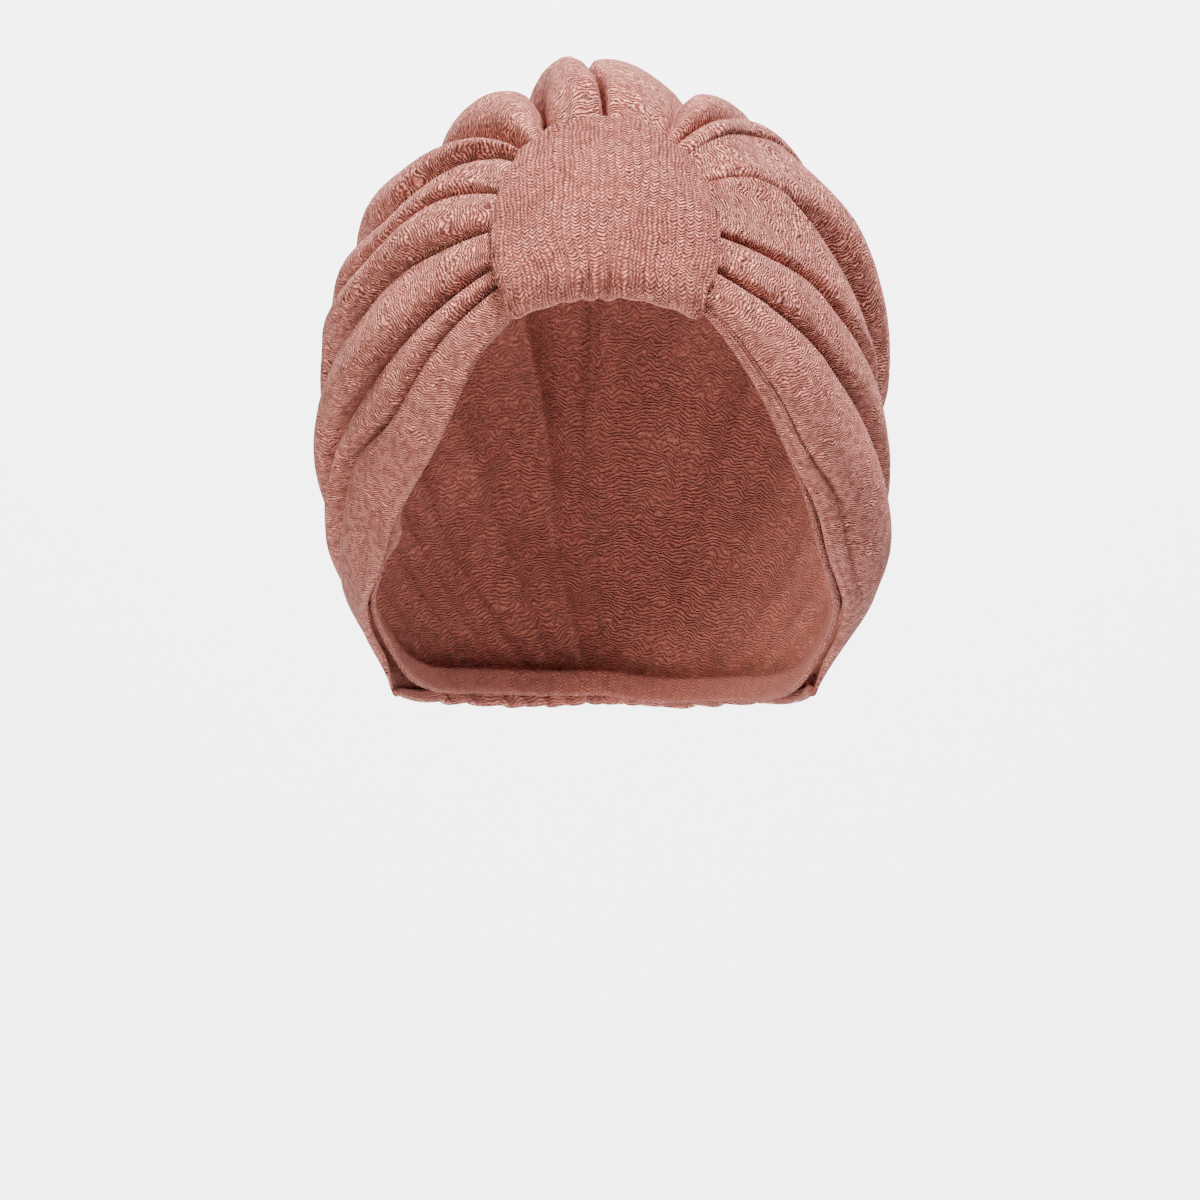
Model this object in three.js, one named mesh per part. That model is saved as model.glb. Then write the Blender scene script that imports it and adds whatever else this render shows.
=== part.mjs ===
// A pre-tied turban of soft double jersey, in its worn form. All sizes in millimetres.
// +Z up, the band and the opening look along -Y, +X is on the viewer's right.
// The origin is the middle of the crown's inner side.
import * as THREE from "three";

// The form that the cloth lies on, measured in the creases between the folds
const formHalfWidth = 86.5; // side to side, at the level of the equator
const formFront = 99; // equator centre to the front
const formBack = 106; // equator centre to the back
const crownRise = 102; // equator to the top of the crown
const skirtDrop = 187; // how fast the sides draw in below the equator
const equatorSetBack = 4; // the widest level's centre lies this far behind the origin

// The cloth
const clothWall = 3; // two layers of jersey
const foldRise = 10; // the tallest fold above its creases
const gap = 0.3; // clearance between two pieces

// The gather under the band, from which every fold fans out
const gatherSetForward = 6;
const gatherDrop = 33; // the fan's centre lies this far below the equator
const gatherTilt = 48; // degrees, the fan's axis above the horizon
const gatherEdge = 10; // degrees from the axis where the cloth starts
const shareUnderBand = 0.3; // how much of its height a fold keeps under the band

// The nape edge
const napeReach = 165; // degrees from the axis, at the centre of the back
const earReach = 132.5; // degrees from the axis, at the two lower corners
const napeCurve = 2.8; // over 1, the reach shortens later on its way to the corners
const tuckDepth = 5.5; // how far the edge draws in
const tuckLength = 34; // degrees over which it draws in

// The band
const bandHalfWidth = 34;
const bandTop = 66; // degrees above the horizon, seen from the fan's centre
const bandBottom = 40.3; // degrees, where the band turns under, at its middle
const bandBottomArch = 1.2; // degrees lower at its sides
const bandTurnUp = 13; // degrees that the inner leaf runs back up
const bandWall = 3;
const bandEase = 0.4; // spare height under the band
const pleatRise = 1.6;

// The hem
const hemWidth = 9;
const hemThickness = 2.4;
const hemEase = 0.2; // spare room between its flats and the cloth's
const hemShow = 2; // how far it stands out past the cloth's edge

// A row for each crease, from the left rim over the crown to the right rim, and for the fold that follows it.
// Columns two to five are the crease's angle round the fan's axis at the four distances in creaseStations.
// lift is the crease's height, and rise the fold's, both as shares of foldRise.
// skew over 1 moves the fold's crest on towards the next crease.
const creaseStations = [20, 45, 75, 125]; // degrees from the fan's axis
const creases = [
  { name: "rimLeft", band: -121.5, temple: -125, side: -119, back: -106, lift: 0, rise: 0.5, skew: 1 },
  { name: "rimRoll", band: -109, temple: -107, side: -97, back: -86, lift: 0.15, rise: 0.4, skew: 0.85 },
  { name: "secondRoll", band: -100, temple: -95, side: -87, back: -75, lift: 0.2, rise: 0.55, skew: 1.25 },
  { name: "templeFold", band: -77, temple: -76, side: -66, back: -60, lift: 0.2, rise: 0.5, skew: 1 },
  { name: "softFold", band: -58, temple: -65, side: -57, back: -50, lift: 0.35, rise: 0.4, skew: 1 },
  { name: "broadFold", band: -38, temple: -53, side: -46, back: -41, lift: 0.1, rise: 0.75, skew: 0.85 },
  { name: "upperFold", band: -33, temple: -35, side: -31, back: -28, lift: -0.15, rise: 1.05, skew: 0.75 },
  { name: "crownLeft", band: -22, temple: -14, side: -14, back: -13, lift: -0.3, rise: 1, skew: 1 },
  { name: "crownMiddle", band: 0, temple: -3, side: -3, back: -2, lift: 0.35, rise: 0.6, skew: 0.55 },
  { name: "crownRight", band: 24, temple: 16, side: 16, back: 14, lift: -0.1, rise: 0.55, skew: 0.95 },
  { name: "smallFold", band: 30, temple: 29, side: 28, back: 25, lift: 0.1, rise: 0.35, skew: 0.9 },
  { name: "shoulderFold", band: 37, temple: 39, side: 40, back: 37, lift: 0.35, rise: 0.9, skew: 1.1 },
  { name: "outerFold", band: 52, temple: 60, side: 63, back: 56, lift: 0, rise: 0.35, skew: 1.2 },
  { name: "overlapFold", band: 83, temple: 81, side: 76, back: 70, lift: -0.1, rise: 0.4, skew: 0.8 },
  { name: "cheekFold", band: 105, temple: 99, side: 95, back: 84, lift: 0.25, rise: 0.7, skew: 1.1 },
  { name: "innerRoll", band: 116, temple: 118, side: 110, back: 98, lift: 0.1, rise: 0.35, skew: 1 },
  { name: "rimRight", band: 121, temple: 121, side: 118, back: 106, lift: 0 },
];
const columnsPerFold = 6;
const clothRows = 20;

// The band's half-width along its outer leaf, as shares of bandHalfWidth
const bandOutline = [
  { along: 0, width: 0.58 },
  { along: 0.2, width: 0.85 },
  { along: 0.45, width: 0.98 },
  { along: 0.7, width: 1.0 },
  { along: 0.9, width: 0.95 },
  { along: 1, width: 0.86 },
];
// Gathers along the band's lower edge: places as shares of bandHalfWidth, heights of pleatRise
const pleats = [
  { at: -0.62, width: 0.2, rise: 0.5 },
  { at: -0.2, width: 0.16, rise: 0.9 },
  { at: 0.02, width: 0.12, rise: 1.0 },
  { at: 0.3, width: 0.2, rise: 0.7 },
  { at: 0.66, width: 0.22, rise: 0.5 },
];

const radians = THREE.MathUtils.degToRad;
const smooth = (low, high, value) => THREE.MathUtils.smoothstep(value, low, high);
const mix = THREE.MathUtils.lerp;

const equator = new THREE.Vector3(0, equatorSetBack, clothWall - crownRise);
const fanCentre = new THREE.Vector3(0, -gatherSetForward, equator.z - gatherDrop);
const fanAxis = new THREE.Vector3(0, -Math.cos(radians(gatherTilt)), Math.sin(radians(gatherTilt)));
const fanUp = new THREE.Vector3(0, Math.sin(radians(gatherTilt)), Math.cos(radians(gatherTilt)));
const fanSide = new THREE.Vector3(1, 0, 0);

// The point of the form in a direction from the fan's centre, moved out along the form's normal
function onForm(direction, offset) {
  const start = fanCentre.clone().sub(equator);
  let hit = null;
  for (const reachY of [formFront, formBack]) {
    for (const reachZ of [crownRise, skirtDrop]) {
      const size = new THREE.Vector3(formHalfWidth, reachY, reachZ);
      const step = direction.clone().divide(size);
      const from = start.clone().divide(size);
      const a = step.lengthSq();
      const b = step.dot(from);
      const distance = (-b + Math.sqrt(b * b - a * (from.lengthSq() - 1))) / a;
      const point = start.clone().addScaledVector(direction, distance);
      const inFront = reachY === formFront;
      const above = reachZ === crownRise;
      if (point.y < 0 === inFront && point.z > 0 === above) {
        const normal = point.clone().divide(size).divide(size).normalize();
        hit = point.add(equator).addScaledVector(normal, offset);
      }
    }
  }
  return hit;
}

// Direction at an angle round the fan's axis and an angle away from it, both in degrees
function fanDirection(around, away) {
  const across = fanUp
    .clone()
    .multiplyScalar(Math.cos(radians(around)))
    .addScaledVector(fanSide, Math.sin(radians(around)));
  return fanAxis
    .clone()
    .multiplyScalar(Math.cos(radians(away)))
    .addScaledVector(across, Math.sin(radians(away)));
}

// Smooth value between the stations of a row
function between(stations, values, at) {
  const last = stations.length - 1;
  if (at <= stations[0]) return values[0];
  if (at >= stations[last]) return values[last];
  const k = stations.findIndex((station) => station > at) - 1;
  return mix(values[k], values[k + 1], smooth(stations[k], stations[k + 1], at));
}

const creaseAngle = (crease, away) =>
  between(creaseStations, [crease.band, crease.temple, crease.side, crease.back], away);

// How far from the axis the band covers the cloth, for an angle round it
const reachOnAxis = onForm(fanAxis, 0).distanceTo(fanCentre);
const sideCover = THREE.MathUtils.radToDeg(Math.atan(bandHalfWidth / reachOnAxis));
const bandCover = (around) =>
  mix(sideCover, bandTop - gatherTilt, Math.max(0, Math.cos(radians(around))) ** 2);

// Share of its full height that a fold has at a place on the fan
function foldStrength(around, away) {
  const cover = bandCover(around);
  const emerging = mix(shareUnderBand, 1, smooth(cover, cover + 16, away));
  return emerging * mix(1, 0.22, smooth(85, 140, away));
}

// Height of the cloth's outer face above the form, in the fold between two creases
function clothRelief(crease, next, share, around, away) {
  const crest = 2 * share ** crease.skew - 1;
  const bulge = Math.max(0, 1 - crest * crest) ** 0.6;
  const height = mix(crease.lift, next.lift, share) + crease.rise * bulge;
  return foldRise * height * foldStrength(around, away);
}

// How far the deepest crease sinks below the form, as a share of foldRise
const deepest = Math.min(0, ...creases.map((crease) => crease.lift));

// The angle away from the axis where the cloth ends, for a share of the way from crown to rim
const clothReach = (shareOfRim) => mix(napeReach, earReach, Math.abs(shareOfRim) ** napeCurve);

// Draws the last stretch of cloth inwards
const tuck = (away, reach) => tuckDepth * smooth(reach - tuckLength, reach, away);

// A closed solid between two equal grids of points, the first one outside
function closedSheet(outer, inner) {
  const rows = outer.length;
  const columns = outer[0].length;
  const positions = [...outer.flat(), ...inner.flat()].flatMap((point) => point.toArray());
  const over = (row, column) => row * columns + column;
  const under = (row, column) => rows * columns + over(row, column);
  const index = [];
  const quad = (a, b, c, d) => index.push(a, c, b, a, d, c);
  for (let row = 0; row < rows - 1; row++) {
    for (let column = 0; column < columns - 1; column++) {
      quad(over(row, column), over(row + 1, column), over(row + 1, column + 1), over(row, column + 1));
      quad(under(row, column), under(row, column + 1), under(row + 1, column + 1), under(row + 1, column));
    }
    const end = columns - 1;
    quad(over(row, 0), under(row, 0), under(row + 1, 0), over(row + 1, 0));
    quad(over(row, end), over(row + 1, end), under(row + 1, end), under(row, end));
  }
  for (let column = 0; column < columns - 1; column++) {
    const end = rows - 1;
    quad(over(0, column), over(0, column + 1), under(0, column + 1), under(0, column));
    quad(over(end, column), under(end, column), under(end, column + 1), over(end, column + 1));
  }
  const geometry = new THREE.BufferGeometry();
  geometry.setAttribute("position", new THREE.Float32BufferAttribute(positions, 3));
  geometry.setIndex(index);
  geometry.computeVertexNormals();
  return geometry;
}

const jersey = (name, color) =>
  new THREE.MeshStandardMaterial({ name, color, roughness: 0.92, metalness: 0 });

function piece(name, geometry, material) {
  const mesh = new THREE.Mesh(geometry, material);
  mesh.name = name;
  return mesh;
}

// The two sides of the cloth are sewn together in the crease over the middle of the crown
const seam = creases.findIndex((crease) => crease.name === "crownMiddle");

// Half the gap at that seam, as an angle round the fan
function seamAngle(around, away) {
  const reach = onForm(fanDirection(around, away), 0).distanceTo(fanCentre);
  return THREE.MathUtils.radToDeg(Math.asin(gap / 2 / (reach * Math.sin(radians(away)))));
}

// One side of the gathered cloth: columns follow the folds, so that each crease is an edge of the mesh
function gatheredCloth(name, first, last) {
  const outer = [];
  const inner = [];
  const rimAngle = creases[creases.length - 1].back;
  for (let row = 0; row <= clothRows; row++) {
    const outerRow = [];
    const innerRow = [];
    for (let fold = first; fold < last; fold++) {
      const crease = creases[fold];
      const next = creases[fold + 1];
      const lastColumn = fold === last - 1 ? columnsPerFold : columnsPerFold - 1;
      for (let column = 0; column <= lastColumn; column++) {
        const share = (1 - Math.cos((Math.PI * column) / columnsPerFold)) / 2;
        const reach = clothReach(mix(crease.back, next.back, share) / rimAngle);
        const away = mix(gatherEdge, reach, row / clothRows);
        let around = mix(creaseAngle(crease, away), creaseAngle(next, away), share);
        if (fold === seam && column === 0) around += seamAngle(around, away);
        if (fold === seam - 1 && column === columnsPerFold) around -= seamAngle(around, away);
        const height = clothRelief(crease, next, share, around, away) - tuck(away, reach);
        const direction = fanDirection(around, away);
        outerRow.push(onForm(direction, height));
        innerRow.push(onForm(direction, height - clothWall));
      }
    }
    outer.push(outerRow);
    inner.push(innerRow);
  }
  return piece(name, closedSheet(outer, inner), jersey("jersey", 0xb97f73));
}

// The band: an outer leaf over the gather, a turn under the front edge and a short inner leaf
function frontBand() {
  const tallest = Math.max(...creases.slice(0, -1).map((crease) => crease.rise + Math.max(0, crease.lift)));
  const outerLeaf = shareUnderBand * foldRise * tallest + gap + bandEase + bandWall / 2;
  const innerLeaf = foldRise * shareUnderBand * deepest - (clothWall + gap + bandEase + bandWall / 2);
  const turnRadius = (outerLeaf - innerLeaf) / 2;
  const path = [];
  const leafSteps = 14;
  const turnSteps = 5;
  const turnUpSteps = 4;
  for (let k = 0; k <= leafSteps; k++) {
    path.push({ along: k / leafSteps, sink: 0, offset: outerLeaf, turn: 0 });
  }
  for (let k = 1; k < turnSteps; k++) {
    const turn = (Math.PI * k) / turnSteps;
    const offset = (outerLeaf + innerLeaf) / 2 + turnRadius * Math.cos(turn);
    path.push({ along: 1, sink: turnRadius * Math.sin(turn), offset, turn });
  }
  for (let k = 0; k <= turnUpSteps; k++) {
    path.push({ along: 1, rise: k / turnUpSteps, sink: 0, offset: innerLeaf, turn: Math.PI });
  }
  const acrossSteps = 14;
  const outer = [];
  const inner = [];
  for (const place of path) {
    const outerRow = [];
    const innerRow = [];
    const stations = bandOutline.map((row) => row.along);
    const widths = bandOutline.map((row) => row.width);
    const narrowing = mix(1, 0.8, place.rise ?? 0);
    const width = bandHalfWidth * narrowing * between(stations, widths, place.along);
    for (let column = 0; column <= acrossSteps; column++) {
      const across = Math.cos((Math.PI * column) / acrossSteps);
      const bottom = bandBottom - bandBottomArch * across * across;
      const level = mix(bandTop, bottom, place.along) + bandTurnUp * (place.rise ?? 0);
      const upright = new THREE.Vector3(0, -Math.cos(radians(level)), Math.sin(radians(level)));
      const reach = onForm(upright, 0).distanceTo(fanCentre);
      const direction = upright.addScaledVector(fanSide, (across * width) / reach).normalize();
      const base = onForm(direction, 0);
      const normal = onForm(direction, 1).sub(base);
      const down = normal.clone().cross(fanSide).normalize();
      if (down.z > 0) down.negate();
      const facing = normal.clone().multiplyScalar(Math.cos(place.turn));
      facing.addScaledVector(down, Math.sin(place.turn));
      const middle = base.clone().addScaledVector(normal, place.offset).addScaledVector(down, place.sink);
      const edge = Math.sqrt(Math.max(0, 1 - across ** 8));
      const gathered = smooth(0.7, 1, place.along) * (1 - smooth(0, 0.5, place.rise ?? 0));
      const fullness = pleats.reduce((sum, pleat) => {
        const from = (across * width) / bandHalfWidth - pleat.at;
        return sum + pleat.rise * Math.exp(-((from / pleat.width) ** 2));
      }, 0);
      const outside = bandWall * (mix(0.3, 1, edge) - 0.5) + pleatRise * gathered * fullness * edge;
      outerRow.push(middle.clone().addScaledVector(facing, outside));
      innerRow.push(middle.clone().addScaledVector(facing, -bandWall / 2));
    }
    outer.push(outerRow);
    inner.push(innerRow);
  }
  return piece("front_band", closedSheet(outer, inner), jersey("band_jersey", 0xc08579));
}

// The hem: a flat rolled edge that lines the opening from the band round the nape and back to the band
function rimHem() {
  const rimAngle = creases[creases.length - 1].back;
  const bandEndHalfWidth = bandHalfWidth * bandOutline[bandOutline.length - 1].width;
  const path = [];
  const sideSteps = 26;
  const napeSteps = 34;
  for (const side of [-1, 1]) {
    const rim = side < 0 ? creases[0] : creases[creases.length - 1];
    const halfWidthAt = (away) => Math.abs(onForm(fanDirection(creaseAngle(rim, away), away), 0).x);
    let start = gatherEdge;
    while (halfWidthAt(start) < bandEndHalfWidth + bandWall / 2 + gap) start += 0.25;
    const run = [];
    for (let k = 0; k < sideSteps; k++) {
      const away = mix(start, earReach, k / sideSteps);
      run.push({ around: creaseAngle(rim, away), away, reach: earReach });
    }
    if (side < 0) path.push(...run);
    else {
      for (let k = 0; k <= napeSteps; k++) {
        const share = mix(-1, 1, k / napeSteps);
        path.push({ around: share * rimAngle, away: clothReach(share), reach: clothReach(share) });
      }
      path.push(...run.reverse());
    }
  }
  const rimPoints = path.map((p) => onForm(fanDirection(p.around, p.away), 0));
  const outer = [];
  const inner = [];
  const halfRound = 0.5 * hemThickness;
  path.forEach((place, k) => {
    const before = rimPoints[Math.max(0, k - 1)];
    const after = rimPoints[Math.min(path.length - 1, k + 1)];
    const tangent = after.clone().sub(before).normalize();
    const direction = rimPoints[k].clone().sub(fanCentre).normalize();
    const normal = onForm(direction, 1).sub(onForm(direction, 0));
    const outward = normal.clone().cross(tangent).normalize();
    const outerRow = [];
    const innerRow = [];
    for (const column of [0, 0.12, 0.5, 0.88, 1]) {
      const inset = mix(-hemShow, hemWidth - hemShow, column);
      const point = rimPoints[k].clone().addScaledVector(outward, -inset);
      const along = point.sub(fanCentre).normalize();
      const ended = column === 0 || column === 1;
      const strength = foldStrength(place.around, place.away);
      const sunk = foldRise * deepest * strength - tuck(place.away, place.reach);
      const level = sunk - clothWall - gap - hemEase;
      outerRow.push(onForm(along, level - (ended ? halfRound * 0.6 : 0)));
      innerRow.push(onForm(along, level - hemThickness + (ended ? halfRound * 0.6 : 0)));
    }
    outer.push(outerRow);
    inner.push(innerRow);
  });
  return piece("rim_hem", closedSheet(outer, inner), jersey("hem_jersey", 0xa9705f));
}

const turban = new THREE.Group();
turban.add(gatheredCloth("left_folds", 0, seam));
turban.add(gatheredCloth("right_folds", seam, creases.length - 1));
turban.add(frontBand(), rimHem());

export default turban;
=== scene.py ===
import math

import bmesh
import bpy
import numpy as np
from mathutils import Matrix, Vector, noise


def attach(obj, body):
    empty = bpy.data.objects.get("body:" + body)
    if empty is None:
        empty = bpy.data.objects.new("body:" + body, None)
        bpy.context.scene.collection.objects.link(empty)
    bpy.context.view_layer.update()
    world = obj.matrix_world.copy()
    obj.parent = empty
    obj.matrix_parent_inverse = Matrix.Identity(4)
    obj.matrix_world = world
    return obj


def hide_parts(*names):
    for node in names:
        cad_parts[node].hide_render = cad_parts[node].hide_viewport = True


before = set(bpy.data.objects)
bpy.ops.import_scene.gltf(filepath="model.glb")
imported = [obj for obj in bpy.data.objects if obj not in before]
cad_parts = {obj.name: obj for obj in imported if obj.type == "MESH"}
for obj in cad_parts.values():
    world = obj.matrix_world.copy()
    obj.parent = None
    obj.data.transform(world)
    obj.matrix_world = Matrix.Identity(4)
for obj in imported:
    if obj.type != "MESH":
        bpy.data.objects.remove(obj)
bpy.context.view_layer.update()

print("frame loaded")

# The camera stands level in front of the band, far enough off for a flat view
cameraSet = {"place": (-0.0016, -2.2, -0.162), "frameWidth": 0.384}

camera = bpy.data.objects.new("camera", bpy.data.cameras.new("camera"))
camera.location = cameraSet["place"]
camera.rotation_euler = (math.radians(90), 0, 0)
camera.data.lens = camera.data.sensor_width * -cameraSet["place"][1] / cameraSet["frameWidth"]
camera.data.clip_end = 20
bpy.context.scene.collection.objects.link(camera)
bpy.context.scene.camera = camera

# The form under the folds, in metres: half ellipsoids in front and behind, above and below the widest level
form = {
    "halfWidth": 0.0865,
    "front": 0.099,
    "back": 0.106,
    "rise": 0.102,
    "drop": 0.187,
    "middle": (0, 0.004, -0.099),
    "fanCentre": (0, -0.006, -0.132),  # the folds fan out round a line from here through the band
    "fanTilt": 48,
}

tilt = math.radians(form["fanTilt"])
fanAxis = np.array([0, -math.cos(tilt), math.sin(tilt)])
fanUp = np.array([0, math.sin(tilt), math.cos(tilt)])
fanSide = np.array([1.0, 0, 0])
fanCentre = np.array(form["fanCentre"])
formMiddle = np.array(form["middle"])


def smooth(low, high, value):
    share = np.clip((np.asarray(value, float) - low) / (high - low), 0, 1)
    return share * share * (3 - 2 * share)


def mix(a, b, share):
    return a + (b - a) * share


def unit(vectors):
    return vectors / np.maximum(np.linalg.norm(vectors, axis=-1, keepdims=True), 1e-9)


def bell(at, middle, width):
    return np.exp(-(((at - middle) / width) ** 2))


# Goes from the row's first value to its second while the place goes from its third to its fourth
def ramp(row, at):
    begin, end, low, high = row
    return mix(begin, end, smooth(low, high, at))


# Adds up waves, each row with its size, its pace and the shift that goes with the index
def waves(rows, at, index, start=0):
    return sum((size * np.sin(at * pace + shift * index) for size, pace, shift in rows), start)


# Slow uneven dents at a grid's points, from -1 to 1
def ripples(points, scale):
    return np.array([[noise.noise(Vector(p) * scale) for p in line] for line in points])


# Directions from the fan's centre, for angles round its axis and away from it in degrees
def fanDirection(around, away):
    around, away = np.radians(around), np.radians(away)
    across = np.cos(around)[..., None] * fanUp + np.sin(around)[..., None] * fanSide
    return np.cos(away)[..., None] * fanAxis + np.sin(away)[..., None] * across


# The form's points and normals in those directions
def onForm(direction):
    start = fanCentre - formMiddle
    point = np.zeros(direction.shape)
    normal = np.zeros(direction.shape)
    for reachY, signY in ((form["front"], -1), (form["back"], 1)):
        for reachZ, signZ in ((form["rise"], 1), (form["drop"], -1)):
            size = np.array([form["halfWidth"], reachY, reachZ])
            step, begin = direction / size, start / size
            a = (step**2).sum(-1)
            b = step @ begin
            distance = (-b + np.sqrt(b * b - a * (begin @ begin - 1))) / a
            hit = start + direction * distance[..., None]
            here = (hit[..., 1] * signY >= -1e-12) & (hit[..., 2] * signZ >= -1e-12)
            point[here] = hit[here] + formMiddle
            normal[here] = unit(hit / size / size)[here]
    return point, normal


def between(stations, values, at):
    at = np.asarray(at, float)
    result = np.full(at.shape, float(values[0]))
    for k in range(len(stations) - 1):
        share = smooth(stations[k], stations[k + 1], at)
        result = np.where(at > stations[k], mix(values[k], values[k + 1], share), result)
    return result


# A grid of faces whose corners go to the given points, with a uv for each side of a seam column
def gridPiece(name, points, uvLeft, uvRight, wall):
    rows, columns = points.shape[:2]
    bm = bmesh.new()
    bmesh.ops.create_grid(bm, x_segments=columns - 1, y_segments=rows - 1, size=1)
    mesh = bpy.data.meshes.new(name)
    bm.to_mesh(mesh)
    bm.free()
    flat = np.zeros(len(mesh.vertices) * 3)
    mesh.vertices.foreach_get("co", flat)
    flat = flat.reshape(-1, 3)
    column = np.rint((flat[:, 0] + 1) / 2 * (columns - 1)).astype(int)
    row = np.rint((flat[:, 1] + 1) / 2 * (rows - 1)).astype(int)
    mesh.vertices.foreach_set("co", points[row, column].ravel())
    corner = np.zeros(len(mesh.loops), int)
    mesh.loops.foreach_get("vertex_index", corner)
    corner = corner.reshape(-1, 4)
    faceColumn, faceRow = column[corner], row[corner]
    onLeft = faceColumn == faceColumn.min(1, keepdims=True)
    uv = np.where(onLeft[..., None], uvLeft[faceRow, faceColumn], uvRight[faceRow, faceColumn])
    mesh.uv_layers.new(name="cloth").data.foreach_set("uv", uv.ravel())
    mesh.polygons.foreach_set("use_smooth", np.ones(len(mesh.polygons), bool))
    mesh.update()
    piece = bpy.data.objects.new(name, mesh)
    bpy.context.scene.collection.objects.link(piece)
    if wall:
        thicken = piece.modifiers.new("wall", "SOLIDIFY")
        thicken.thickness = wall
        thicken.offset = -1
    return piece


# Lengths along a grid's rows or columns, from the first point
def runLengths(points, axis):
    steps = np.linalg.norm(np.diff(points, axis=axis), axis=-1)
    pad = [(0, 0), (0, 0)]
    pad[axis] = (1, 0)
    return np.cumsum(np.pad(steps, pad), axis=axis)


# Turns a grid's first or last column under: round a small roll, then back along the inside
def turnUnder(points, normals, edging, side, taper=1):
    radius, under, underSteps = edging["roll"], edging["under"], edging["underSteps"]
    edge, within, normal = points[:, side], points[:, 2 if side == 0 else -3], normals[:, side]
    outward = edge - within
    outward = unit(outward - (outward * normal).sum(-1, keepdims=True) * normal)
    turns = np.linspace(0, math.pi, edging["rollSteps"] + 1)[1:]
    places = [(radius * math.sin(t), radius * (1 - math.cos(t))) for t in turns]
    places += [(-under * k / underSteps, 2 * radius) for k in range(1, underSteps + 1)]
    strip = np.stack([edge + (outward * across - normal * down) * taper for across, down in places], 1)
    padded = np.repeat(normal[:, None], len(places), 1)
    if side == 0:
        return np.concatenate([strip[:, ::-1], points], 1), np.concatenate([padded, normals], 1)
    return np.concatenate([points, strip], 1), np.concatenate([normals, padded], 1)


# The same for its first or last row
def turnUnderRow(points, normals, edging, side, taper=1):
    turned = turnUnder(points.transpose(1, 0, 2), normals.transpose(1, 0, 2), edging, side, taper)
    return [grid.transpose(1, 0, 2) for grid in turned]


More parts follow.
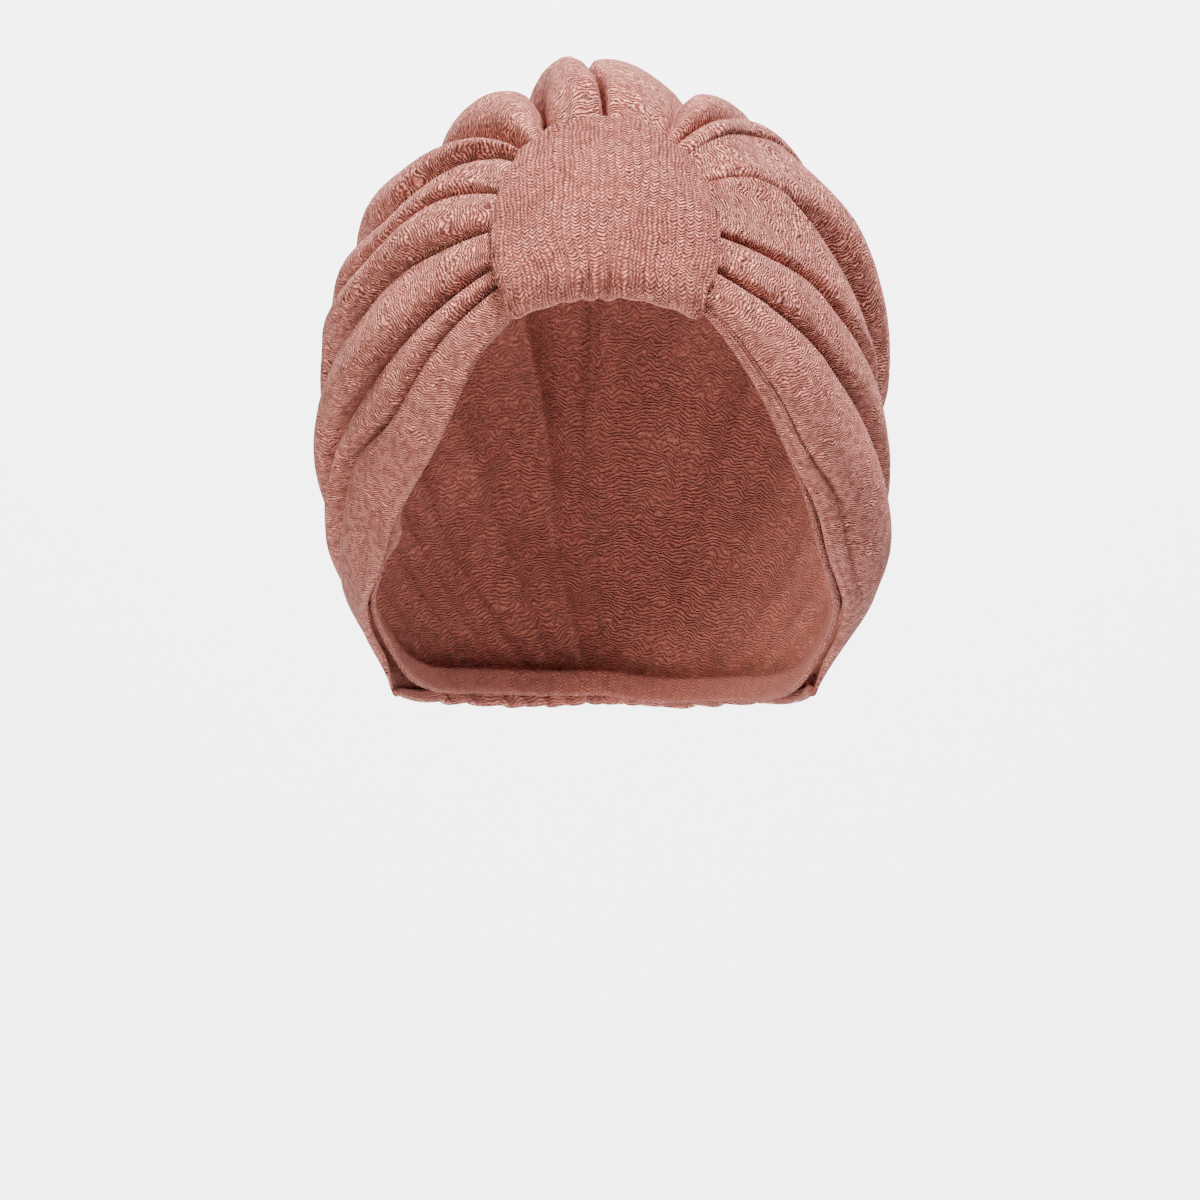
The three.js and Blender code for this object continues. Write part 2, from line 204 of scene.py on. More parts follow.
# The gathered cap. A row for each crease, from the left front edge over the crown to the right one: its angle
# round the fan at each station, and its height. Then how high the fold after it rises, where that fold's
# crest lies (below 1 it is turned, with its steep side first) and how many degrees it leans. Then the depth
# of the crease's groove, the degrees from the axis where the groove ends, and how far the gather next to the
# band fills the crease.
cap = {
    "stations": (20, 45, 75, 125),  # degrees from the axis
    "creases": (
        # name, angles, lift, rise, skew, lean, groove, end, fill
        ("rimLeft", (-121.5, -125, -119, -106), 0, 0.55, 1.5, 0.8, 0, 60, 0),
        ("rimRoll", (-109, -107, -97, -86), -0.4, 0.86, 0.62, -4.2, 2.4, 122, 0),
        ("secondRoll", (-98, -95, -87, -75), 0.0, 0.62, 0.68, -3.4, 0.6, 84, 0),
        ("templeFold", (-77, -76, -66, -60), 0.0, 0.56, 0.75, -3.0, 1.4, 94, 0),
        ("softFold", (-58, -65, -57, -50), 0.25, 0.42, 0.8, -1.4, 0.3, 64, 0.15),
        ("broadFold", (-38, -53, -46, -41), 0.0, 0.76, 0.8, -1.2, 0.6, 70, 0),
        ("upperFold", (-33, -35, -31, -28), -0.25, 1.02, 1.08, 0.7, 0.6, 64, 0),
        ("crownLeft", (-22, -15, -15, -13), -0.7, 1.18, 1.0, 0.8, 0.6, 70, 0),
        ("crownMiddle", (0, -3, -3, -2), 0.3, 0.65, 0.6, -1.0, 1.2, 80, 0),
        ("crownRight", (24, 16, 16, 14), -0.1, 0.55, 0.95, 0.5, 0.4, 70, 0),
        ("smallFold", (30, 29, 28, 25), 0.02, 0.26, 1.1, 0.5, 0.1, 60, 0.2),
        ("shoulderFold", (37, 39, 40, 37), 0.3, 0.74, 1.4, 4.0, 0, 60, 0.3),
        ("outerFold", (52, 60, 63, 56), -0.15, 0.4, 1.6, 5.4, 1.4, 104, 0.55),
        ("overlapFold", (79, 76, 71, 68), -0.15, 0.55, 1.3, 2.6, 1.8, 110, 0),
        ("cheekFold", (101, 95, 89, 81), 0.05, 0.74, 1.1, 0.8, 1.0, 94, 0),
        ("innerRoll", (120.2, 120, 114.6, 102), 0.15, 0.2, 1.0, 0, 0, 112, 0),
        ("rimRight", (121, 121, 118, 106), 0, 0, 1, 0, 0, 60, 0),
    ),
    "drift": ((0.8, 0.075, 1.7), (0.45, 0.16, 2.9)),  # slow waves of each crease, in degrees
    "driftStart": (20, 45),
    "unevenness": ((0.1, 0.055, 2.1), (0.06, 0.13, 4.7)),  # slow waves of each fold's height
    "slowSide": (0.75, 1.2, 22, 80),  # how round a fold's slow side is near the band and far from it
    "quickSide": (0.48, 0.66, 25, 95),
    "openFill": 0.3,  # a crease filled more than this opens over the degrees of fillEnd
    "closedFill": 0.4,  # and the folds beside one filled more than this rise less there
    "closedRise": 0.65,
    "fillEnd": (32, 54),
    "fillWidth": 7,
    "foldRise": 0.010,
    "leanStart": (14, 30),
    "leanFade": (1, 0.25, 85, 140),
    "backFade": (1, 0.22, 85, 140),
    "grooveDepth": 0.0068,
    "grooveStart": (14, 24),
    "grooveFade": 26,
    "grooveWidth": (1.1, 2, 20, 70),
    "underBand": 0.24,  # how much of its height a fold keeps under the band
    "bandEdge": (-1, 13),  # degrees past the band's side over which it gains the rest
    "bandSide": 15.5,  # degrees that the band covers at its sides and at its top
    "bandTop": 18,
    "start": 5,
    "napeReach": 165,
    "cornerReach": 132.5,
    "napeCurve": 2.8,
    "cornerRound": 3.2,
    "cornerSpan": (0.84, 1.06),
    "tuck": 0.0055,
    "tuckLength": 34,
    "dents": 0.0009,
    "dentScale": 42,
    "puckers": 0.0003,
    "puckerWidth": 7,
    "rows": 158,
    "columns": 268,
    "leastColumns": 10,  # in one fold
    "wall": 0.0012,
    "roll": 0.0015,
    "rollSteps": 6,
    "under": 0.005,
    "underSteps": 3,
    "sideTaper": (1, 0.2, 0.9, 1),  # the turned edges thin out towards the two corners
    "napeTaper": (1, 0.2, 0.85, 0.97),
    "foldShift": 60,  # millimetres of knit between one fold's middle and the next one's
}
millimetres = 1000


# Degrees from the axis where the cloth ends, for a share of the way from the nape's middle to a corner
def edgeReach(share):
    share = np.abs(share)
    reach = mix(cap["napeReach"], cap["cornerReach"], share ** cap["napeCurve"])
    return reach - cap["cornerRound"] * smooth(*cap["cornerSpan"], share)


# For each column of the cap's grid the fold that it is in, and its share of the way across
def capColumns():
    rows = cap["creases"]
    widths = np.array([abs(b[1][1] - a[1][1]) for a, b in zip(rows[:-1], rows[1:])]) + 4
    counts = np.rint(cap["columns"] * widths / widths.sum()).astype(int)
    counts = np.maximum(cap["leastColumns"], counts)
    fold = np.concatenate([[k] * n for k, n in enumerate(counts)] + [[len(rows) - 2]])
    share = np.concatenate([(1 - np.cos(np.pi * np.arange(n) / n)) / 2 for n in counts] + [[1.0]])
    return fold, share


def capPoints():
    rows = cap["creases"]
    fold, share = capColumns()
    last = len(rows) - 1
    rimAngle = rows[-1][1][3]
    backAngle = np.array([mix(rows[k][1][3], rows[k + 1][1][3], s) for k, s in zip(fold, share)])
    reach = edgeReach(backAngle / rimAngle)
    down = np.linspace(0, 1, cap["rows"])[:, None]
    away = mix(cap["start"], reach[None, :], down)
    angles = np.zeros((last + 1,) + away.shape)
    for k, row in enumerate(rows):
        angles[k] = between(cap["stations"], row[1], away)
        if k not in (0, last):
            angles[k] += waves(cap["drift"], away, k) * smooth(*cap["driftStart"], away)
    index = np.arange(len(fold))
    low = angles[fold, :, index].T
    high = angles[fold + 1, :, index].T
    values = (np.array([row[k] for row in rows], float) for k in range(2, 9))
    lift, rise, skew, lean, groove, ends, fill = values
    # A fold rises slowly on one side and drops sharply on the other, and softens away from the band
    turned = skew[fold] < 1
    power = np.where(turned, 1 / skew[fold], skew[fold])
    crest = (2 * np.where(turned, 1 - share, share) ** power - 1)[None, :]
    roundness = np.where(crest < 0, ramp(cap["slowSide"], away), ramp(cap["quickSide"], away))
    bulge = np.maximum(0, 1 - crest * crest) ** roundness
    opening = smooth(*cap["fillEnd"], away)
    closed = np.maximum(fill[fold], fill[fold + 1]) > cap["closedFill"]
    bulge = bulge * mix(1 - cap["closedRise"] * closed, 1, opening)
    wave = waves(cap["unevenness"], away, fold, 1)
    height = mix(lift[fold], lift[fold + 1], share) + rise[fold] * bulge * wave
    flatAround = mix(low, high, share)
    leanOver = lean[fold] * opening ** (fill[fold + 1] > cap["openFill"])
    around = flatAround + leanOver * bulge * smooth(*cap["leanStart"], away) * ramp(cap["leanFade"], away)
    cover = mix(cap["bandSide"], cap["bandTop"], np.maximum(0, np.cos(np.radians(around))) ** 2)
    strength = mix(cap["underBand"], 1, smooth(*cap["bandEdge"], away - cover)) * ramp(cap["backFade"], away)
    grooveWidth = ramp(cap["grooveWidth"], away)
    cuts = 0
    for edge, angle in ((fold, low), (fold + 1, high)):
        opened = opening ** (fill[edge] > cap["openFill"])
        height = height + fill[edge] * bell(flatAround, angle, cap["fillWidth"]) * (1 - opening)
        fade = smooth(0, cap["grooveFade"], ends[edge] - away)
        cuts = cuts + groove[edge] * bell(flatAround, angle, grooveWidth) * opened * fade
    height = height * strength * cap["foldRise"]
    height -= cap["grooveDepth"] * cuts * smooth(*cap["grooveStart"], away)
    height -= cap["tuck"] * smooth(-cap["tuckLength"], 0, away - reach)
    point, normal = onForm(fanDirection(around, away))
    point = point + normal * height[..., None]
    # Slow dents, and fine puckers near the gather
    pucker = np.sin(around * 1.9 + 2 * np.sin(around * 0.31)) * bell(away, cover + 1, cap["puckerWidth"])
    uneven = cap["dents"] * ripples(point, cap["dentScale"]) + cap["puckers"] * pucker
    return point + normal * uneven[..., None], normal, fold


def makeCap():
    point, normal, fold = capPoints()
    taper = ramp(cap["sideTaper"], np.linspace(0, 1, len(point)))[:, None]
    for side in (0, -1):
        point, normal = turnUnder(point, normal, cap, side, taper)
    added = cap["rollSteps"] + cap["underSteps"]
    fold = np.concatenate([[0] * added, fold, [fold[-1]] * added])
    taper = ramp(cap["napeTaper"], np.abs(np.linspace(-1, 1, point.shape[1])))[:, None]
    point, normal = turnUnderRow(point, normal, cap, -1, taper)
    across = runLengths(point, 1)
    along = np.mean(runLengths(point, 0), 1, keepdims=True) + np.zeros(across.shape)
    # Each fold measures its cloth from its own middle, so the knit's columns run along it
    uvLeft = np.zeros(point.shape[:2] + (2,))
    uvRight = np.zeros(point.shape[:2] + (2,))
    for k in range(fold[-1] + 1):
        own = np.flatnonzero(fold == k)
        reach = np.append(own, own[-1] + 1) if own[-1] + 1 < len(fold) else own
        middle = across[:, [(reach[0] + reach[-1]) // 2]]
        sideways = (across[:, reach] - middle) * millimetres + cap["foldShift"] * k
        ownUv = np.stack([along[:, reach] * millimetres, sideways], -1)
        uvLeft[:, reach[:-1]] = ownUv[:, :-1]
        uvRight[:, reach[1:]] = ownUv[:, 1:]
    return gridPiece("cap", point, uvLeft, uvRight, cap["wall"])


# The band: its outline and its gathers, as shares of its half-width and of its length from top to bottom
band = {
    "halfWidth": 0.034,
    "top": 66,
    "bottom": 40.3,
    "arch": 1.2,
    "turnUp": 13,
    "leftOutline": ((0, 0.52), (0.12, 0.74), (0.28, 0.88), (0.5, 0.98), (0.75, 0.99), (0.9, 0.95), (1, 0.86)),
    "rightOutline": ((0, 0.62), (0.1, 0.82), (0.25, 0.95), (0.5, 0.99), (0.75, 0.99), (0.9, 0.95), (1, 0.86)),
    "outside": 0.0072,  # its outer face above the form, at its middle
    "inside": -0.0046,
    "sideDrop": 0.0024,
    "sidePower": 5,
    "blend": 0.0042,  # how far its upper right edge sinks into the folds that it grows into
    "blendAcross": (0.35, 1),
    "blendDown": (0.55, 0.25),
    "gathers": (
        # place across, width, depth
        (-0.64, 0.14, 0.0022),
        (-0.37, 0.09, 0.0026),
        (-0.16, 0.07, 0.0034),
        (0.04, 0.075, 0.004),
        (0.3, 0.12, 0.0018),
        (0.62, 0.13, 0.002),
    ),
    "gatherSpan": (0.55, 1),  # down the leaf
    "crease": (0.0011, -0.6, -0.3, 0.07),  # depth, place across at the top, its shift down the leaf, width
    "creaseSpan": (0.36, 0.05),
    "innerWidth": 0.8,
    "dents": 0.0005,
    "dentScale": 55,
    "wall": 0.0012,
    "roll": 0.0014,
    "rollSteps": 6,
    "under": 0.003,
    "underSteps": 2,
    "rows": 110,
    "bendSteps": 18,
    "backRows": 16,
    "columns": 120,
}


def bandPoints():
    across = np.sin(np.linspace(-1, 1, band["columns"]) * math.pi / 2)[None, :]
    # The outer leaf, the turn under the front edge and the inner leaf: each row's place down the leaf, how
    # far it bulges past the edge, and its height above the form
    turn = (band["outside"] - band["inside"]) / 2
    middle = (band["outside"] + band["inside"]) / 2
    turns = np.linspace(0, math.pi, band["bendSteps"] + 1)[1:-1]
    leaf = [(k, 0, band["outside"]) for k in np.linspace(0, 1, band["rows"])]
    bend = [(1, turn * math.sin(t), middle + turn * math.cos(t)) for t in turns]
    back = [(1 + k, 0, band["inside"]) for k in np.linspace(0, 1, band["backRows"])]
    along, sink, offset = (np.array(v)[:, None] for v in zip(*(leaf + bend + back)))
    onLeaf, inward = np.minimum(along, 1), np.maximum(along - 1, 0)
    outer = 1 - inward
    left, right = (between(*zip(*band[side]), onLeaf) for side in ("leftOutline", "rightOutline"))
    width = band["halfWidth"] * np.where(across < 0, left, right) * mix(1, band["innerWidth"], inward)
    bottom = band["bottom"] - band["arch"] * across**2
    level = np.radians(mix(band["top"], bottom, onLeaf) + band["turnUp"] * inward)
    upright = np.stack([0 * level, -np.cos(level), np.sin(level)], -1)
    reach = np.linalg.norm(onForm(upright)[0] - fanCentre, axis=-1)
    direction = unit(upright + fanSide * (across * width / reach)[..., None])
    point, normal = onForm(direction)
    down = unit(np.cross(normal, fanSide))
    down = np.where(down[..., 2:] > 0, -down, down)
    drop = band["sideDrop"] * np.abs(across) ** band["sidePower"] * outer
    upperRight = smooth(*band["blendAcross"], across) * smooth(*band["blendDown"], onLeaf)
    drop = drop + band["blend"] * upperRight * outer
    edge = smooth(*band["gatherSpan"], onLeaf) * outer
    gathers = sum(depth * bell(across, at, size) for at, size, depth in band["gathers"])
    creaseDepth, place, slope, creaseWidth = band["crease"]
    crease = creaseDepth * bell(across, place + slope * onLeaf, creaseWidth)
    crease = crease * smooth(*band["creaseSpan"], onLeaf)
    height = offset - drop - gathers * edge**2 - crease
    facing = np.where(offset > 0, 1.0, -1.0)
    point = point + normal * height[..., None] + down * sink[..., None]
    point = point + normal * (band["dents"] * ripples(point, band["dentScale"]))[..., None]
    return point, normal * facing[..., None]


def makeBand():
    point, normal = bandPoints()
    for side in (0, -1):
        point, normal = turnUnder(point, normal, band, side)
    point, normal = turnUnderRow(point, normal, band, 0)
    along = runLengths(point, 0)
    middle = point.shape[1] // 2
    across = runLengths(point, 1)
    uv = np.stack([along * millimetres, (across - across[:, [middle]]) * millimetres], -1)
    return gridPiece("band", point, uv, uv, band["wall"])


# The hem inside the cap's edge
hem = {
    "width": 0.009,
    "thickness": 0.0024,
    "squareness": (0.42, 0.8),  # of its section, across and through
    "sectionSteps": 29,
    "show": (-0.0012, 0.0016),  # past the cloth's edge, on the left and low on the right
    "showAcross": (-0.03, 0.03),
    "showDown": (48, 80),
    "cornerTuck": 0.002,
    "cornerSteps": 9,
    "below": 0.0037,
    "start": 20.5,
    "sideSteps": 120,
    "napeSteps": 170,
    "softening": 24,
}


# The hem's run down the left edge, along the nape and up the right edge: degrees round the fan, degrees away
# from its axis, and the degrees where the cloth ends
def hemPath():
    first, last = cap["creases"][0], cap["creases"][-1]
    corner = float(edgeReach(1.0))
    away = np.linspace(hem["start"], corner, hem["sideSteps"])
    end = np.full(away.shape, corner)
    left, right = (np.stack([between(cap["stations"], row[1], away), away, end], -1) for row in (first, last))
    share = np.linspace(-1, 1, hem["napeSteps"])
    nape = edgeReach(share)
    return np.concatenate([left[:-1], np.stack([share * last[1][3], nape, nape], -1), right[::-1][1:]])


def makeHem():
    path = hemPath()
    rim, normal = onForm(fanDirection(path[:, 0], path[:, 1]))
    for _ in range(hem["softening"]):
        rim[1:-1] = (rim[:-2] + 2 * rim[1:-1] + rim[2:]) / 4
    tangent = np.gradient(rim, axis=0)
    outward = unit(np.cross(normal, unit(tangent)))
    depth = hem["below"] + cap["tuck"] * smooth(-cap["tuckLength"], 0, path[:, 1] - path[:, 2])
    # A rounded oblong section
    turns = np.linspace(0, 2 * math.pi, hem["sectionSteps"])
    half, thick = hem["width"] / 2, hem["thickness"] / 2
    acrossPower, throughPower = hem["squareness"]
    lateral = np.sign(np.cos(turns)) * np.abs(np.cos(turns)) ** acrossPower * half
    rising = np.sign(np.sin(turns)) * np.abs(np.sin(turns)) ** throughPower * thick
    lowRight = smooth(*hem["showAcross"], rim[:, 0]) * smooth(*hem["showDown"], path[:, 1])
    show = mix(*hem["show"], lowRight)
    step = np.arange(len(path))
    for corner in (hem["sideSteps"] - 1, hem["sideSteps"] + hem["napeSteps"] - 2):
        show = show - hem["cornerTuck"] * bell(step, corner, hem["cornerSteps"])
    points = []
    for k in range(len(path)):
        base = rim[k] + outward[k] * (show[k] - half) - normal[k] * (depth[k] + thick)
        points.append(base + outward[k] * lateral[:, None] + normal[k] * rising[:, None])
    points = np.array(points)
    length = runLengths(points, 0).mean(1, keepdims=True) + np.zeros(points.shape[:2])
    around = runLengths(points, 1)
    uv = np.stack([around * millimetres, length * millimetres], -1)
    piece = gridPiece("hem", points, uv, uv, 0)
    bm = bmesh.new()
    bm.from_mesh(piece.data)
    bmesh.ops.remove_doubles(bm, verts=bm.verts, dist=1e-6)
    bmesh.ops.holes_fill(bm, edges=[e for e in bm.edges if e.is_boundary], sides=0)
    bmesh.ops.recalc_face_normals(bm, faces=bm.faces)
    bm.to_mesh(piece.data)
    bm.free()
    return piece


# The knit. Rows of yarn run over the cloth, as waves or as nested Vs in columns, with small gaps between the
# stitches painted dark as shade. A look's lengths are millimetres of cloth, and the noises' scales are in
# waves per metre.
knit = {
    "scales": {
        "wander": 70,
        "sway": 260,
        "jitter": 1100,
        "gaps": 780,
        "fibre": 2400,
        "cloud": 34,
        "patch": 420,
        "pull": 55,
    },
    "columnGap": (0.55, 0.95),  # across a column, from its middle to its edge
    "columnDip": (0.7, 1.0),
    "scattered": (0.53, 0.62),  # where the noise is this high, a gap opens anywhere
    "gapInWave": (0.6, 0.15),
    "gapChance": (0.1, 0.7, 0.15),
    "patchSpan": (0.35, 0.6),
    "pullSpan": (0.35, 0.6),
    "chainLink": 0.65,
    "innerSpan": (-0.15, -0.45),  # how far a normal looks towards the fan's centre on the inner side
    "innerLevel": 0.42,
    "innerCalm": 0.6,
    "innerShadeTint": 0.4,
    "gapHeight": -0.8,
    "fibreHeight": 0.4,
    "roughness": (0.98, 0.82),  # in the dips and on the yarn
    "specular": 0.25,
    "sheenRoughness": 0.45,
}


def knitMaterial(name, look):
    material = bpy.data.materials.new(name)
    material.use_nodes = True
    tree = material.node_tree
    tree.nodes.clear()

    def put(socket, value):
        if isinstance(value, bpy.types.NodeSocket):
            tree.links.new(value, socket)
        else:
            socket.default_value = value

    def add(kind, settings=(), **inputs):
        node = tree.nodes.new(kind)
        for key, value in dict(settings).items():
            setattr(node, key, value)
        for key, value in inputs.items():
            put(node.inputs[int(key[1:])] if key[0] == "i" and key[1:].isdigit() else node.inputs[key], value)
        return node

    def maths(operation, first, second=0.0, third=0.0):
        return add("ShaderNodeMath", {"operation": operation}, i0=first, i1=second, i2=third).outputs[0]

    def vectorMaths(operation, output, **inputs):
        return add("ShaderNodeVectorMath", {"operation": operation}, **inputs).outputs[output]

    def mixColour(share, first, second):
        return add("ShaderNodeMix", {"data_type": "RGBA"}, i0=share, i6=first, i7=second).outputs[2]

    def spread(low, high, value, bottom=0.0, top=1.0):
        settings = {"interpolation_type": "SMOOTHSTEP"}
        return add("ShaderNodeMapRange", settings, i0=value, i1=low, i2=high, i3=bottom, i4=top).outputs[0]

    # Goes from 0 to 1 and back once in every pitch
    def wave(value, pitch=1.0):
        return maths("MULTIPLY_ADD", maths("COSINE", maths("MULTIPLY", value, 2 * math.pi / pitch)), 0.5, 0.5)

    place = add("ShaderNodeTexCoord").outputs["Object"]
    cloth = add("ShaderNodeSeparateXYZ", Vector=add("ShaderNodeUVMap", {"uv_map": "cloth"}).outputs[0])

    def cloudy(scale, detail, roughness=0.5, output="Fac"):
        settings = {"Scale": knit["scales"][scale], "Detail": detail, "Roughness": roughness}
        return add("ShaderNodeTexNoise", Vector=place, **settings).outputs[output]

    # Yarn never lies quite straight: three sizes of wander
    along, across = cloth.outputs["X"], cloth.outputs["Y"]
    for scale in ("wander", "sway", "jitter"):
        drift = add("ShaderNodeSeparateXYZ", Vector=cloudy(scale, 0, output="Color"))
        along = maths("MULTIPLY_ADD", maths("SUBTRACT", drift.outputs["X"], 0.5), look[scale], along)
        across = maths("MULTIPLY_ADD", maths("SUBTRACT", drift.outputs["Y"], 0.5), look[scale], across)
    column = maths("DIVIDE", across, look["wale"])
    off = maths("MULTIPLY", maths("ABSOLUTE", maths("SUBTRACT", maths("FRACT", column), 0.5)), 2.0)
    arc = maths("MULTIPLY", maths("POWER", off, look["arc"]), look["slant"])
    swing = maths("MULTIPLY", maths("COSINE", maths("MULTIPLY", column, 2 * math.pi)), look["swing"])
    stagger = maths("MULTIPLY", maths("FLOOR", column), look["stagger"])
    phase = maths("ADD", maths("DIVIDE", along, look["course"]), maths("ADD", arc, swing))
    phase = maths("ADD", phase, stagger)
    strand = wave(phase)

    # Gaps between the columns and scattered ones, deeper in some stitches than in others; they sink in the
    # bump and get a dark colour as painted shade
    stitchColumn = maths("FLOOR", maths("ADD", column, 0.5))
    cell = add("ShaderNodeCombineXYZ", i0=stitchColumn, i1=maths("FLOOR", phase)).outputs[0]
    chance = add("ShaderNodeTexWhiteNoise", {"noise_dimensions": "3D"}, Vector=cell).outputs["Value"]
    betweenColumns = maths("MULTIPLY", spread(*knit["columnGap"], off), look["columns"])
    scattered = spread(*knit["scattered"], cloudy("gaps", 1))
    pit = maths("MULTIPLY", maths("MAXIMUM", betweenColumns, scattered), spread(*knit["gapInWave"], strand))
    chanceLow, chanceHigh, chanceLeast = knit["gapChance"]
    pit = maths("MULTIPLY", pit, spread(chanceLow, chanceHigh, chance, chanceLeast, 1.0))

    seamDip = spread(*knit["columnDip"], off)
    relief = maths("MULTIPLY", strand, maths("MULTIPLY_ADD", seamDip, -look["dip"], 1.0))
    # Where the cloth is pulled lengthways its stitches close up into chains
    links = maths("MULTIPLY_ADD", strand, knit["chainLink"], 1 - knit["chainLink"])
    chains = maths("MULTIPLY", wave(across, look["chainPitch"]), links)
    pull = maths("MULTIPLY", spread(*knit["pullSpan"], cloudy("pull", 1)), look["chains"])
    flat = maths("MULTIPLY", relief, maths("SUBTRACT", 1.0, pull))
    relief = maths("ADD", flat, maths("MULTIPLY", chains, pull))
    # The cloth's inner side is smoother, and its colour is tinted darker as painted shade inside the cap
    outward = vectorMaths("SUBTRACT", 0, i0=place, i1=form["fanCentre"])
    outward = vectorMaths("NORMALIZE", 0, i0=outward)
    normal = add("ShaderNodeTexCoord").outputs["Normal"]
    inner = spread(*knit["innerSpan"], vectorMaths("DOT_PRODUCT", "Value", i0=outward, i1=normal))
    calm = maths("MULTIPLY", inner, knit["innerCalm"])
    relief = maths("ADD", relief, maths("MULTIPLY", maths("SUBTRACT", knit["innerLevel"], relief), calm))
    pit = maths("MULTIPLY", pit, maths("SUBTRACT", 1.0, inner))

    fibre = cloudy("fibre", 3, 0.7)
    cloud = cloudy("cloud", 3)
    patch = spread(*knit["patchSpan"], cloudy("patch", 1), look["patch"], 1.0)
    # The colour follows the yarn's relief: painted shade in the dips between the rows and a painted highlight
    # on the crests, mixed with the yarn's own random tone from the patch, fibre and cloud noises
    toneAndShade = maths("MULTIPLY", relief, patch)
    toneAndShade = maths("MULTIPLY_ADD", maths("SUBTRACT", fibre, 0.5), look["fibre"], toneAndShade)
    toneAndShade = maths("MULTIPLY_ADD", maths("SUBTRACT", cloud, 0.5), look["cloud"], toneAndShade)
    low = mixColour(spread(0.0, 0.5, toneAndShade), look["dark"], look["middle"])
    yarnColourAndShade = mixColour(spread(0.45, 1.0, toneAndShade), low, look["light"])
    # Painted shade: the gaps take the dark gap colour
    colour = mixColour(maths("MULTIPLY", pit, look["pitShade"]), yarnColourAndShade, look["gap"])
    # Painted shade: the inner side is tinted towards its darker colour
    colour = mixColour(maths("MULTIPLY", inner, knit["innerShadeTint"]), colour, look["innerSideShade"])

    height = maths("MULTIPLY_ADD", fibre, knit["fibreHeight"], relief)
    height = maths("MULTIPLY_ADD", pit, knit["gapHeight"], height)
    bump = add("ShaderNodeBump", Height=height, Strength=look["bump"], Distance=look["depth"])
    shader = add("ShaderNodeBsdfPrincipled", Normal=bump.outputs[0])
    for socket, value in (
        ("Base Color", colour),
        ("Roughness", spread(0.0, 1.0, relief, *knit["roughness"])),
        ("Specular IOR Level", knit["specular"]),
        ("Sheen Weight", look["sheen"]),
        ("Sheen Roughness", knit["sheenRoughness"]),
        ("Sheen Tint", look["sheenTint"]),
    ):
        put(shader.inputs[socket], value)
    output = add("ShaderNodeOutputMaterial")
    tree.links.new(shader.outputs[0], output.inputs["Surface"])
    return material


capJersey = {
    "wale": 8.5,
    "course": 1.14,
    "arc": 1.0,
    "slant": 0.0,
    "swing": 0.4,
    "stagger": 0.0,
    "columns": 0.0,
    "wander": 7.0,
    "sway": 2.5,
    "jitter": 1.0,
    "dip": 0.0,
    "chains": 0.0,
    "chainPitch": 1.4,
    "patch": 0.6,
    "fibre": 0.9,
    "cloud": 0.3,
    "pitShade": 0.85,
    "bump": 1.0,
    "depth": 0.0011,
    "sheen": 0.07,
    # From the dips to the crests: the yarn's own colour, with painted shade in the dark and a painted
    # highlight in the light
    "dark": (0.15, 0.035, 0.026, 1),
    "middle": (0.5, 0.138, 0.102, 1),
    "light": (1.0, 0.362, 0.286, 1),
    # painted shade in the gaps between stitches
    "gap": (0.07, 0.014, 0.01, 1),
    # painted shade on the cloth's inner side
    "innerSideShade": (0.45, 0.17, 0.135, 1),
    "sheenTint": (1, 0.75, 0.7, 1),
}
bandJersey = dict(
    capJersey,
    wale=2.7,
    course=1.2,
    arc=1.2,
    slant=0.9,
    swing=0.0,
    stagger=0.43,
    columns=1.0,
    wander=2.4,
    sway=1.4,
    jitter=0.55,
    dip=0.6,
    chains=0.9,
)
hemJersey = dict(bandJersey, wale=1.8, chains=0.0, light=(0.7, 0.25, 0.2, 1))

capPiece = makeCap()
capPiece.data.materials.append(knitMaterial("capJersey", capJersey))
print("cap made")
bandPiece = makeBand()
bandPiece.data.materials.append(knitMaterial("bandJersey", bandJersey))
print("band made")
hemPiece = makeHem()
hemPiece.data.materials.append(knitMaterial("hemJersey", hemJersey))
print("hem made")

for piece, nodes, slot in (
    (capPiece, ("left_folds", "right_folds"), "jersey"),
    (bandPiece, ("front_band",), "band_jersey"),
    (hemPiece, ("rim_hem",), "hem_jersey"),
):
    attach(piece, "root")
    for node in nodes:
        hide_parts(node)

# A pale sweep behind and below, and soft studio lights
studio = {
    "floor": -0.75,
    "near": -3.0,
    "far": 2.9,
    "top": 2.4,
    "curve": 0.8,
    "curveSteps": 24,
    "halfWidth": 3.0,
    "colour": (0.88, 0.88, 0.885, 1),
    "roughness": 0.9,
    "world": 0.14,
    "lights": (
        # name, place, target, size, power, colour
        ("key", (0.38, -0.85, 1.88), (0, 0, -0.08), 0.55, 142, (1, 0.99, 1)),
        ("top", (0.3, -0.1, 1.75), (0, 0, -0.1), 0.8, 60, (1, 0.98, 0.97)),
        ("fill", (-1.2, -1.6, 0.4), (0, 0, -0.12), 0.8, 42, (1, 0.93, 0.82)),
        ("backdropLeft", (-0.9, 1.5, 1.0), (-0.2, 2.9, 0.0), 0.8, 100, (1, 1, 1)),
        ("backdropRight", (0.9, 1.5, 1.0), (0.2, 2.9, 0.0), 0.8, 100, (1, 1, 1)),
    ),
}


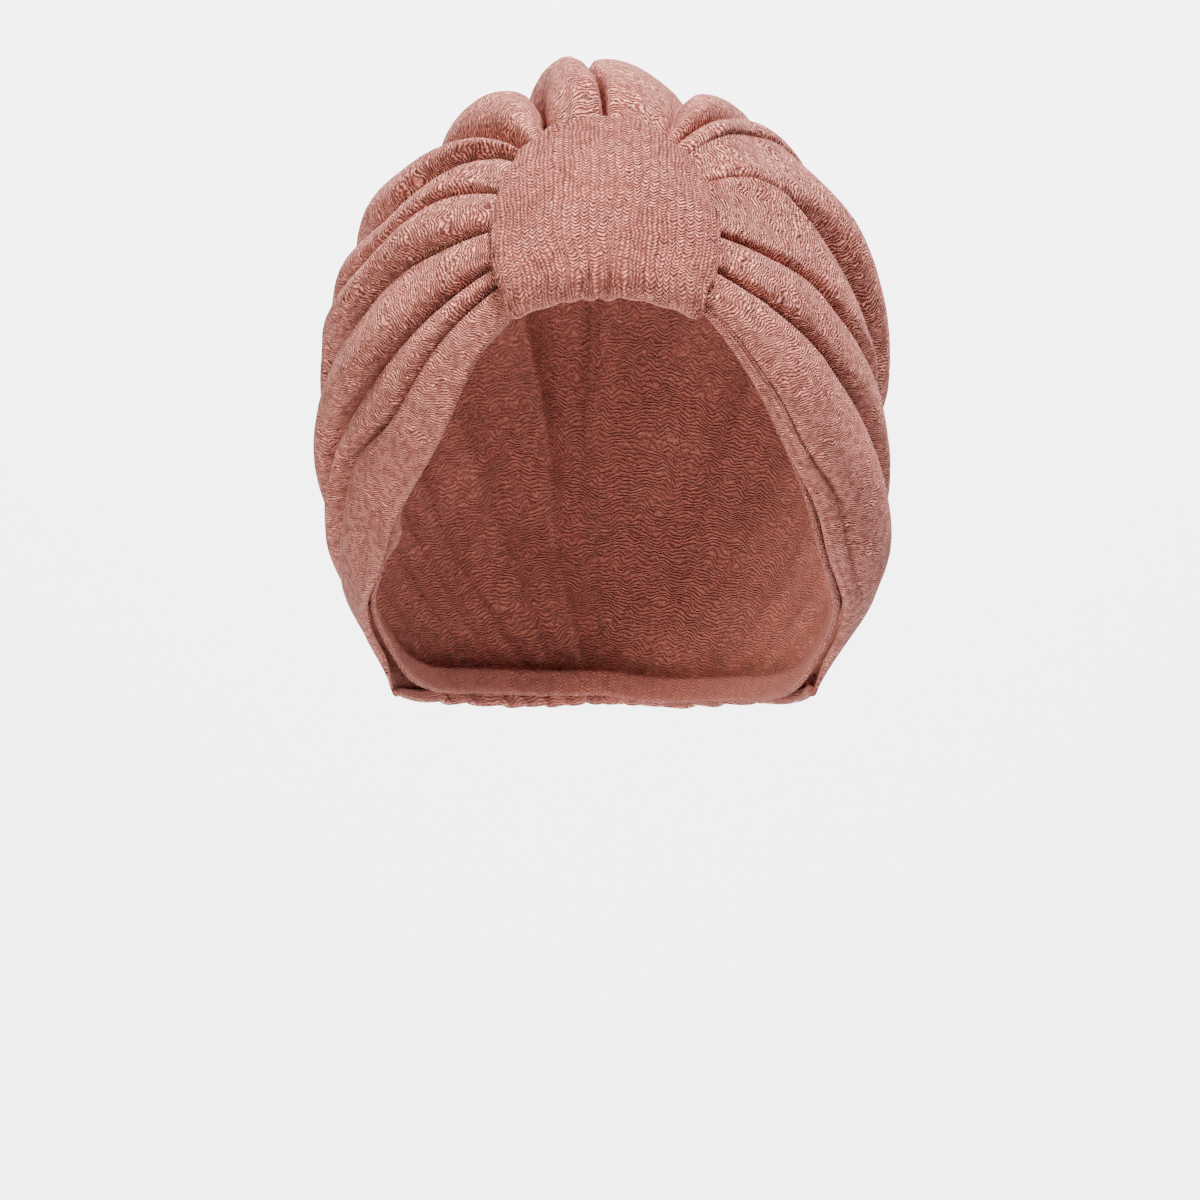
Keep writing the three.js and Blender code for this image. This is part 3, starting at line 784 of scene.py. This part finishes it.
def makeSweep():
    bm = bmesh.new()
    ends = (-studio["halfWidth"], studio["halfWidth"])
    edge = bm.edges.new([bm.verts.new((x, studio["near"], studio["floor"])) for x in ends])

    def pull(edges, move):
        made = bmesh.ops.extrude_edge_only(bm, edges=edges)["geom"]
        bmesh.ops.translate(bm, verts=[g for g in made if isinstance(g, bmesh.types.BMVert)], vec=move)
        return [g for g in made if isinstance(g, bmesh.types.BMEdge)]

    bendStart = studio["far"] - studio["curve"]
    run = pull([edge], (0, bendStart - studio["near"], 0))
    lastEdge = [e for e in run if all(abs(v.co.y - bendStart) < 1e-6 for v in e.verts)]
    radius, steps = studio["curve"], studio["curveSteps"]
    for k in range(steps):
        a, b = (math.pi / 2 * (k + n) / steps for n in (0, 1))
        before = set(bm.verts)
        run = pull(lastEdge, (0, radius * (math.sin(b) - math.sin(a)), radius * (math.cos(a) - math.cos(b))))
        lastEdge = [e for e in run if all(v not in before for v in e.verts)]
    pull(lastEdge, (0, 0, studio["top"]))
    bmesh.ops.recalc_face_normals(bm, faces=bm.faces)
    mesh = bpy.data.meshes.new("sweep")
    bm.to_mesh(mesh)
    bm.free()
    mesh.polygons.foreach_set("use_smooth", np.ones(len(mesh.polygons), bool))
    sweep = bpy.data.objects.new("sweep", mesh)
    bpy.context.scene.collection.objects.link(sweep)
    paper = bpy.data.materials.new("paper")
    paper.use_nodes = True
    paper.node_tree.nodes["Principled BSDF"].inputs["Base Color"].default_value = studio["colour"]
    paper.node_tree.nodes["Principled BSDF"].inputs["Roughness"].default_value = studio["roughness"]
    sweep.data.materials.append(paper)


def softLight(name, place, target, size, power, colour):
    light = bpy.data.lights.new(name, "AREA")
    light.shape, light.size, light.energy, light.color = "DISK", size, power, colour
    lamp = bpy.data.objects.new(name, light)
    lamp.location = place
    lamp.rotation_euler = (Vector(target) - Vector(place)).to_track_quat("-Z", "Y").to_euler()
    bpy.context.scene.collection.objects.link(lamp)


makeSweep()
for row in studio["lights"]:
    softLight(*row)
world = bpy.data.worlds.new("world")
world.use_nodes = True
world.node_tree.nodes["Background"].inputs[0].default_value = (1, 1, 1, 1)
world.node_tree.nodes["Background"].inputs[1].default_value = studio["world"]
bpy.context.scene.world = world
print("studio made")
